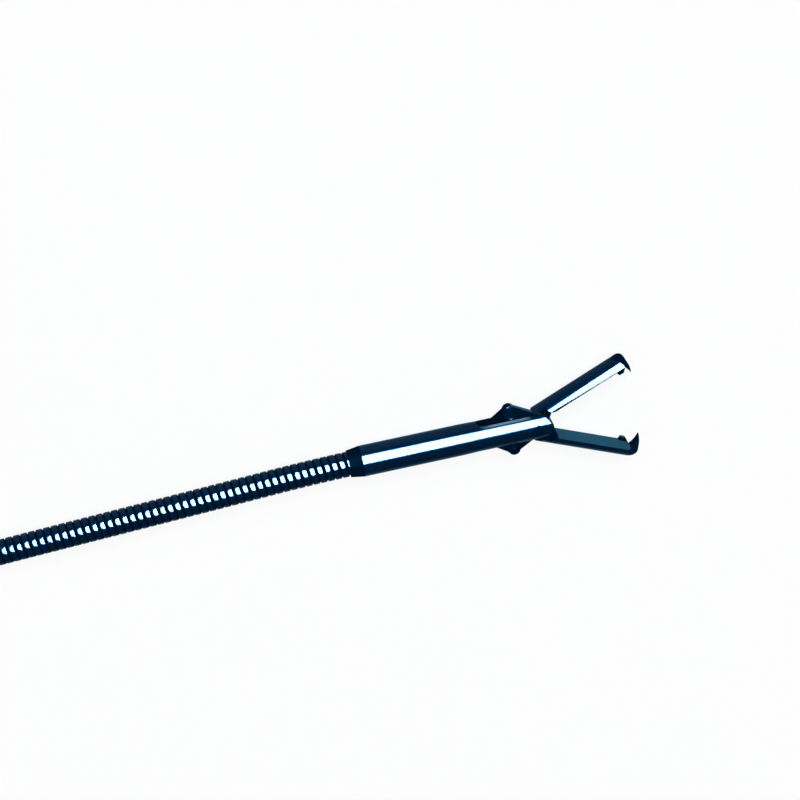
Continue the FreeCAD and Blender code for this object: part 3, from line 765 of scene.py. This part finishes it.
def make_softbox(name, radiance, distance, in_gloss):
    """A long softbox above the tool, on the camera's side. One lights surfaces, one shows in gloss."""
    lamp = bpy.data.lights.new(name, "AREA")
    lamp.shape = "ELLIPSE"
    lamp.size = 2 * distance * math.tan(math.radians(softbox_half_width))
    lamp.size_y = 2 * distance * math.tan(math.radians(softbox_half_length))
    oval_area = math.pi / 4 * lamp.size * lamp.size_y
    lamp.energy = radiance * math.pi * oval_area
    box = make_object(name, lamp)
    tilt = Matrix.Rotation(math.radians(-softbox_tilt), 4, "X")
    lean = Matrix.Rotation(math.radians(softbox_lean), 4, "Y")
    box.matrix_world = tilt @ lean @ Matrix.Translation((0, 0, distance))
    box.visible_diffuse = not in_gloss
    box.visible_glossy = in_gloss


def make_world():
    world = bpy.data.worlds.new("studio")
    bpy.context.scene.world = world
    world.use_nodes = True
    background = world.node_tree.nodes["Background"]
    background.inputs["Color"].default_value = sky_tone
    background.inputs["Strength"].default_value = sky_strength


def make_camera():
    camera = bpy.data.cameras.new("camera")
    camera.sensor_width = film_width
    camera.lens = film_width * focal_px / picture_px
    camera.clip_start = 1.0 * mm
    seat = make_object("camera", camera)
    forward = (camera_target - camera_place).normalized()
    right = forward.cross(camera_up).normalized()
    up = right.cross(forward)
    turn = Matrix((right, up, -forward)).transposed().to_4x4()
    seat.matrix_world = Matrix.Translation(camera_place) @ turn
    bpy.context.scene.camera = seat


# Working end
tool_steel = blued_steel("blued_steel")
tube_steel = blued_steel("blued_tube_steel", arms=True)
jaw_steel = blued_steel("blued_jaw_steel")
pin_steel = pin_finish("blued_pin_steel")
finished_copy("distal_tube", "frame", tube_steel, ridges=tube_ridges,
              rounded=(Vector((0.0, 0.0, 0.0)), Vector((1.0, 0.0, 0.0)), tube_radius))
finished_copy("pivot_pin", "frame", pin_steel)
for side, turned in (("lower", False), ("upper", True)):
    finished_copy(side + "_jaw", "jaw_" + side, jaw_steel, flat=jaw_flat(turned),
                  rounded=jaw_round(turned), turned=turned)
for side in ("lower", "upper"):
    finished_copy(side + "_jaw_tail_pin", "jaw_" + side, pin_steel)
for side in ("lower", "upper"):
    finished_copy(side + "_jaw_link", "link_" + side, tool_steel)
finished_copy("drive_yoke", "yoke", tool_steel)
finished_copy("yoke_pin", "yoke", pin_steel)
finished_copy("drive_rod", "yoke", pin_steel)
finished_copy("guide_bush", "frame", pin_steel)

# Handle
grip_plastic = handle_finish("grip_plastic", colour(38, 92, 132), roughness=0.38)
body_plastic = handle_finish("body_plastic", colour(214, 219, 222), roughness=0.42)
boot_rubber = handle_finish("boot_rubber", colour(34, 38, 42), roughness=0.62)
turned_brass = handle_finish("turned_brass", colour(196, 160, 92), roughness=0.3, metallic=1.0)
bright_steel = handle_finish("bright_steel", colour(190, 194, 198), roughness=0.25, metallic=1.0)
finished_copy("strain_relief", "frame", boot_rubber)
finished_copy("sheath_ferrule", "frame", bright_steel)
finished_copy("nose_cap", "frame", grip_plastic)
finished_copy("collet", "frame", turned_brass)
finished_copy("handle_body", "frame", body_plastic)
finished_copy("spool_front", "spool", grip_plastic)
finished_copy("spool_rear", "spool", grip_plastic)
finished_copy("cross_pin", "spool", bright_steel)
finished_copy("anchor_block", "spool", turned_brass)
finished_copy("set_screw", "spool", bright_steel)
finished_copy("pull_tube", "spool", bright_steel)

# Sheath and the tie round its put-away turns
tie_plastic = handle_finish("tie_plastic", colour(206, 212, 214), roughness=0.45)
tie = finished_copy("coil_tie", "frame", tie_plastic)
make_sheath(wire_steel("flat_wire"))

# Moulded grip rings on the nose cap and round the spool's barrel
rings = ring_tree()
grip_rings(rings, "nose_rings", "frame", grip_plastic, nose_rings_start, nose_ring_count,
           nose_ring_gap, nose_rings_radius, nose_rings_radius,
           growth=nose_rings_growth / nose_rings_radius)
grip_rings(rings, "spool_rings", "spool", grip_plastic,
           spool_middle - (barrel_ring_count - 1) / 2 * barrel_ring_gap, barrel_ring_count,
           barrel_ring_gap, barrel_half_width, barrel_half_height)

# Table, light and camera
make_floor()
make_softbox("softbox", softbox_radiance, softbox_distance, in_gloss=False)
make_softbox("softbox_sheen", sheen_radiance, sheen_distance, in_gloss=True)
make_world()
make_camera()
bpy.context.scene.view_settings.view_transform = "Standard"
